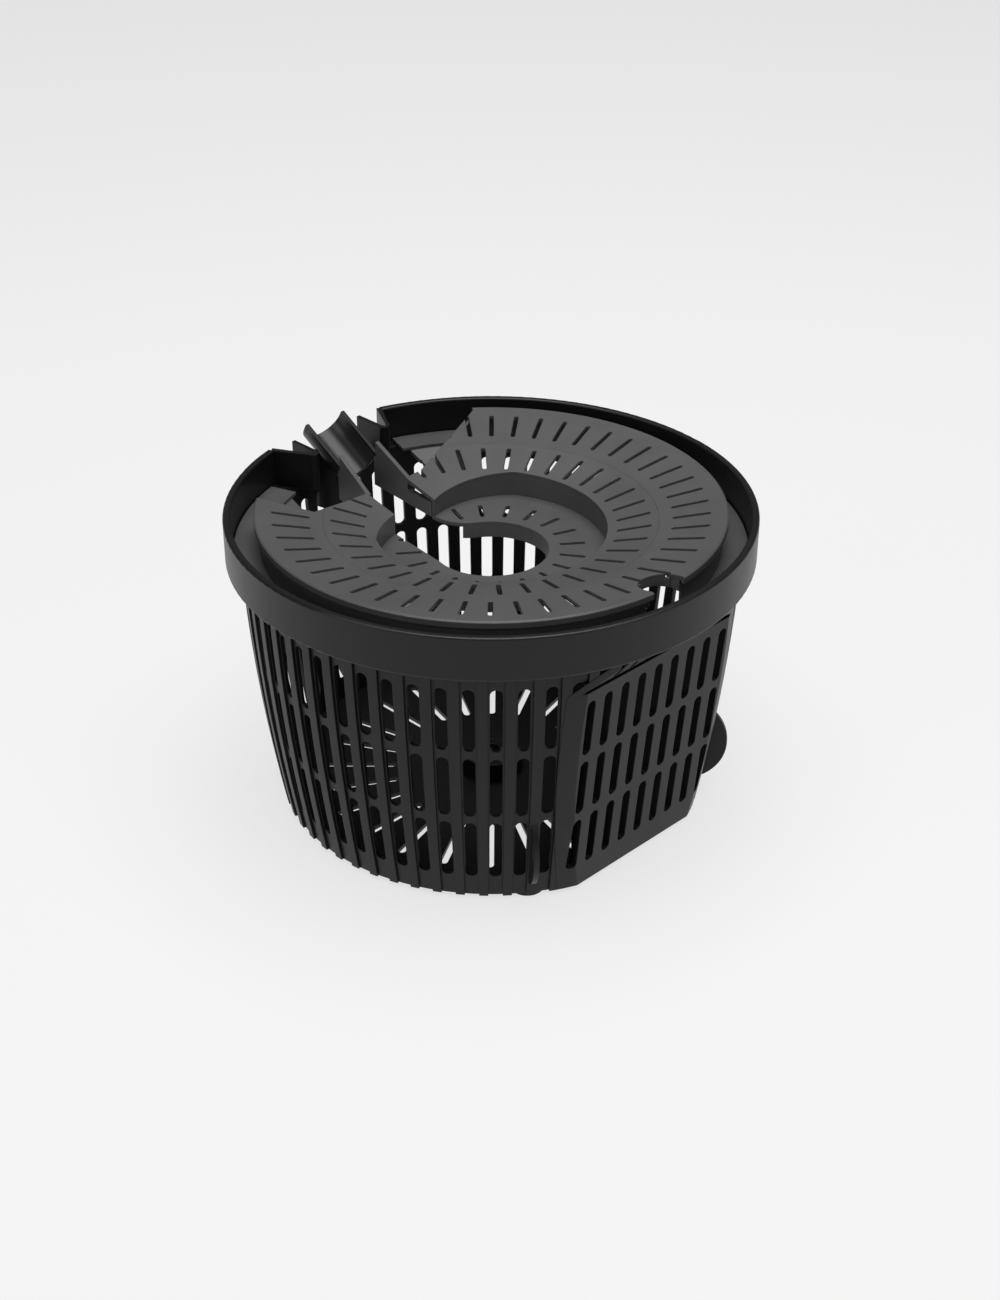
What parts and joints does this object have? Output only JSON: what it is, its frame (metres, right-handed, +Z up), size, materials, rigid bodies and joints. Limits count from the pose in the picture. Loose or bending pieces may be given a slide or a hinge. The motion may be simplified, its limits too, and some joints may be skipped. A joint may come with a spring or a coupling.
{
  "type": "salad spinner basket",
  "caption": "Round slotted spinner basket with a plain collar, a flat slotted side and a lift-out swirl strainer with a finger scoop.",
  "frame": {"origin": "on the ground under the centre of the basket", "axes": "+Z up along the spin axis, +Y towards the throat and the finger scoop, -Y towards the flat side"},
  "size_m": [0.24, 0.2382, 0.1531],
  "materials": {
    "basket": "satin",
    "collar": "satin",
    "strainer": "satin",
    "scoop": "satin",
    "bush": "gloss"
  },
  "bodies": {
    "basket": {"rim_collar": "collar", "support_ledge": "basket", "wall_right_front": "basket", "wall_right": "basket", "wall_back": "basket", "wall_left": "basket", "wall_left_front": "basket", "wall_ribs": "basket", "rib_heads": "basket", "flat_panel": "basket", "panel_shoulder": "basket", "floor_plate": "basket", "floor_hub": "basket", "pivot_bush": "bush", "fin_left": "basket", "fin_right": "basket", "fin_back": "basket", "foot_left": "basket", "foot_right": "basket", "foot_back": "basket", "throat_hook_right": "basket", "throat_hook_left": "basket"},
    "strainer": {"strainer_outer_ring": "strainer", "strainer_inner_ring": "strainer", "well_wall": "strainer", "well_floor": "strainer", "eye_skirt": "strainer", "seat_flange": "strainer", "seat_skirt": "strainer", "flank_wall_right": "strainer", "flank_wall_left": "strainer", "lower_tier_right": "strainer", "lower_tier_left": "strainer", "arm_right": "scoop", "arm_left": "scoop", "finger_scoop": "scoop", "scoop_flange_right": "scoop", "scoop_flange_left": "scoop", "scoop_nose": "scoop", "notch_skirt": "strainer"}
  },
  "joints": [
    {"name": "strainer_lift", "type": "slide", "parent": "basket", "child": "strainer", "axis": [0, 0, 1], "range_m": [0, 0.06]}
  ]
}
